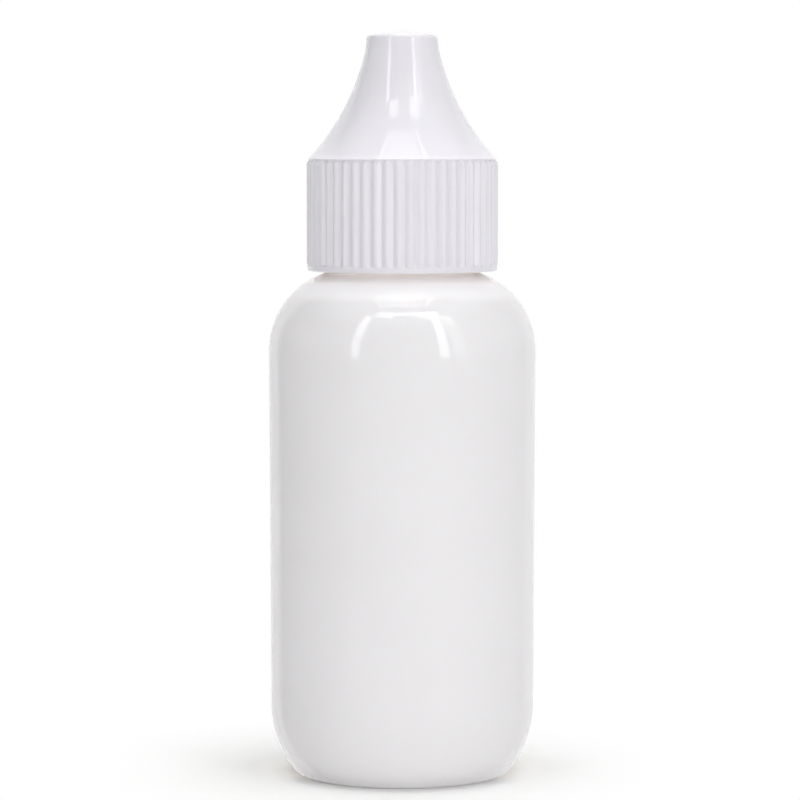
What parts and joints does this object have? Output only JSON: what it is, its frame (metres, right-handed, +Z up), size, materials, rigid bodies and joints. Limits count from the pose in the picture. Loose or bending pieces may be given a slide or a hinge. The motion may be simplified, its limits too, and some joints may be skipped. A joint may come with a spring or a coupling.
{
  "type": "glue bottle",
  "caption": "Round squeeze bottle for liquid glue, with a domed shoulder, a dropper plug and a ribbed screw cap that ends in a cone.",
  "frame": {"origin": "centre of the base, on the surface the bottle stands on", "axes": "+Z up along the bottle's axis, towards the cap's tip; the round body has no front, so +X and +Y are free"},
  "size_m": [0.033, 0.033, 0.0918],
  "materials": {
    "bottle_plastic": "glossy blow-moulded white polyethylene",
    "plug_plastic": "satin natural polyethylene, slightly translucent",
    "liner_foam": "matt white foamed polyethylene",
    "cap_plastic": "glossy moulded white polypropylene, slightly cool"
  },
  "bodies": {
    "bottle": {"bottle": "bottle_plastic", "dropper_plug": "plug_plastic"},
    "liner": {"cap_liner": "liner_foam"},
    "cap": {"cap": "cap_plastic"}
  },
  "joints": [
    {"name": "cap_lift", "type": "slide", "parent": "bottle", "child": "liner", "axis": [0, 0, 1], "range_m": [0, 0.00476]},
    {"name": "cap_turn", "type": "hinge", "parent": "liner", "child": "cap", "pos_m": [0, 0, 0.0623], "axis": [0, 0, 1], "range_deg": [0, 540]}
  ],
  "couplings": [
    {"joint": "cap_lift", "follows": "cap_turn", "m_per_rad": 0.00050532}
  ]
}
